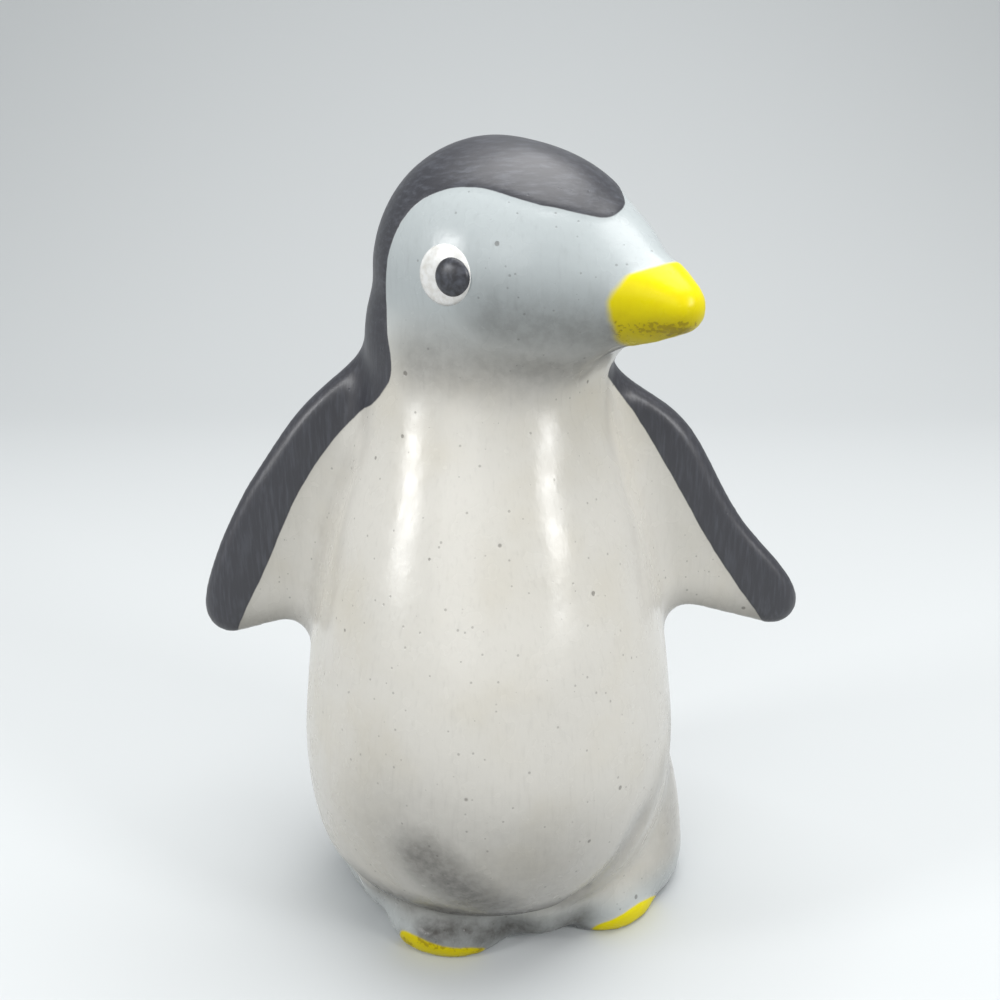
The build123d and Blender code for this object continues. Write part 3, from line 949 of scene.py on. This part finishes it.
def finished(mesh, name, material):
    """An object of a finished mesh, at the origin."""
    data = bpy.data.meshes.new(name)
    mesh.to_mesh(data)
    mesh.free()
    data.shade_smooth()
    data.materials.append(material)
    thing = bpy.data.objects.new(name, data)
    bpy.context.scene.collection.objects.link(thing)
    return thing


def show(mesh, name, material, replaced):
    """Make a finished mesh a piece of the figure."""
    piece = finished(mesh, name, material)
    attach(piece, "root")
    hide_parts(*replaced)
    return piece


class FIGURINE_OT_skin(bpy.types.Operator):
    """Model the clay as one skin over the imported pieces, and mark where each paint lies"""

    bl_idname = "figurine.skin"
    bl_label = "Clay skin"

    def execute(self, context):
        clay, head = context.scene.clay_sizes, context.scene.head_sizes
        mesh = soft_clay(clay, head)
        hand_work(mesh, clay)
        material = painted_clay(context.scene.paint_colours)
        piece = show(mesh, "painted_skin", material, CLAY_NODES + COAT_NODES)
        paint_over(piece.data, clay, head)
        return {"FINISHED"}


def paint_dab(skin, middle, outwards, across, radius, height, shoulder):
    """A round dab of thick paint, laid on the skin. A high shoulder keeps its top flat."""
    mesh = bmesh.new()
    profile = [(k / DAB_RINGS, (1 - (k / DAB_RINGS) ** shoulder) ** 0.5) for k in range(DAB_RINGS + 1)]
    points = [mesh.verts.new((radius * out, 0, height * up)) for out, up in profile]
    points += [mesh.verts.new((radius, 0, -DAB_SUNK)), mesh.verts.new((0, 0, -DAB_SUNK))]
    edges = [mesh.edges.new(pair) for pair in zip(points, points[1:])]
    bmesh.ops.spin(
        mesh,
        geom=points + edges,
        cent=(0, 0, 0),
        axis=(0, 0, 1),
        angle=2 * pi,
        steps=DAB_STEPS,
        use_merge=True,
    )
    bmesh.ops.remove_doubles(mesh, verts=mesh.verts, dist=WELD)
    bmesh.ops.recalc_face_normals(mesh, faces=mesh.faces)
    up = outwards.cross(across)
    for v in mesh.verts:
        start = middle + across * v.co.x + up * v.co.y
        hit = skin.ray_cast(start + outwards * OUTSIDE, -outwards)[0]
        if hit is None:
            raise RuntimeError("a dab of paint misses the skin")
        v.co = hit + outwards * v.co.z
    return mesh


class FIGURINE_OT_eyes(bpy.types.Operator):
    """Lay a white dab and a black pupil on each side of the head"""

    bl_idname = "figurine.eyes"
    bl_label = "Eyes and pupils"

    def execute(self, context):
        head, paints = context.scene.head_sizes, context.scene.paint_colours
        skin = BVHTree.FromObject(bpy.data.objects["painted_skin"], context.evaluated_depsgraph_get())
        white = thick_paint("White enamel", paints.eye_white, paints.belly, EYE_ROUGHNESS)
        black = thick_paint("Black satin enamel", paints.pupil, paints.black_worn, PUPIL_ROUGHNESS)
        along, up, right = head_axes(head)
        middle = Vector(head.middle) + TRUNK_AXIS + up * head.eye_lift
        for side, name in ((1, "right"), (-1, "left")):
            outwards = along * cos(head.eye_turn) + right * (side * sin(head.eye_turn))
            to_beak = along * sin(head.eye_turn) - right * (side * cos(head.eye_turn))
            dab = paint_dab(skin, middle, outwards, to_beak, head.eye / 2, head.eye_rise, FLAT_SHOULDER)
            show(dab, f"{name}_eye_white", white, [f"{name}_eye"])
            ahead = middle + to_beak * head.pupil_shift
            dab = paint_dab(skin, ahead, outwards, to_beak, head.pupil / 2, head.pupil_rise, ROUND_SHOULDER)
            show(dab, f"{name}_eye_pupil", black, [f"{name}_pupil"])
        return {"FINISHED"}


def backdrop_mesh():
    """A sheet of card that lies under the figure and bends up behind it."""
    mesh = bmesh.new()
    line = [mesh.verts.new(place) for place in CARD_LINE]
    for pair in zip(line, line[1:]):
        mesh.edges.new(pair)
    bmesh.ops.bevel(
        mesh,
        geom=[line[1]],
        offset=CARD_BEND,
        segments=CARD_BEND_FACES,
        profile=0.5,
        affect="VERTICES",
        material=-1,
    )
    drawn = bmesh.ops.extrude_edge_only(mesh, edges=mesh.edges)["geom"]
    moved = [v for v in drawn if isinstance(v, bmesh.types.BMVert)]
    bmesh.ops.translate(mesh, verts=moved, vec=(CARD_WIDTH, 0, 0))
    bmesh.ops.recalc_face_normals(mesh, faces=mesh.faces)
    return mesh


class FIGURINE_OT_stage(bpy.types.Operator):
    """Set the figure on a pale floor, with a camera, lamps and a pale room"""

    bl_idname = "figurine.stage"
    bl_label = "Floor, lamps and camera"

    def execute(self, context):
        sizes, paints, scene = context.scene.stage_sizes, context.scene.paint_colours, context.scene
        finished(backdrop_mesh(), "floor", backdrop_card(paints))

        lens = bpy.data.cameras.new("camera")
        lens.lens = sizes.camera_lens
        lens.sensor_width = SENSOR
        lens.clip_start = NEAREST
        camera = bpy.data.objects.new("camera", lens)
        camera.location = sizes.camera_place
        camera.rotation_euler = (pi / 2 - sizes.camera_pitch, 0, 0)
        scene.collection.objects.link(camera)
        scene.camera = camera

        for name, (place, width, height, power) in LAMPS.items():
            lamp = bpy.data.lights.new(name, "AREA")
            lamp.shape = "RECTANGLE"
            lamp.size, lamp.size_y = width, height
            lamp.energy = getattr(sizes, power)
            holder = bpy.data.objects.new(name, lamp)
            holder.location = place
            holder.rotation_euler = (AIM - Vector(place)).to_track_quat("-Z", "Y").to_euler()
            scene.collection.objects.link(holder)

        world = bpy.data.worlds.new("room")
        world.use_nodes = True
        background = world.node_tree.nodes["Background"]
        background.inputs["Color"].default_value = rgba(paints.floor)
        background.inputs["Strength"].default_value = sizes.world
        scene.world = world
        scene.view_settings.view_transform = "Standard"
        return {"FINISHED"}


class FIGURINE_PT_panel(bpy.types.Panel):
    """Lists the steps that make the figurine"""

    bl_idname = "FIGURINE_PT_panel"
    bl_label = "Penguin figurine"
    bl_space_type = "VIEW_3D"
    bl_region_type = "UI"
    bl_category = "Figurine"

    def draw(self, context):
        for step_class in STEPS:
            self.layout.operator(step_class.bl_idname)


STEPS = (FIGURINE_OT_skin, FIGURINE_OT_eyes, FIGURINE_OT_stage)
GROUPS = {
    "clay_sizes": ClaySizes,
    "head_sizes": HeadSizes,
    "paint_colours": PaintColours,
    "stage_sizes": StageSizes,
}


def register():
    for cls in (*GROUPS.values(), *STEPS, FIGURINE_PT_panel):
        bpy.utils.register_class(cls)
    for name, group in GROUPS.items():
        setattr(bpy.types.Scene, name, PointerProperty(type=group))


def unregister():
    for name in GROUPS:
        delattr(bpy.types.Scene, name)
    for cls in (FIGURINE_PT_panel, *STEPS, *GROUPS.values()):
        bpy.utils.unregister_class(cls)


def main():
    register()
    bpy.ops.figurine.skin()
    bpy.ops.figurine.eyes()
    bpy.ops.figurine.stage()


if __name__ == "__main__":
    main()
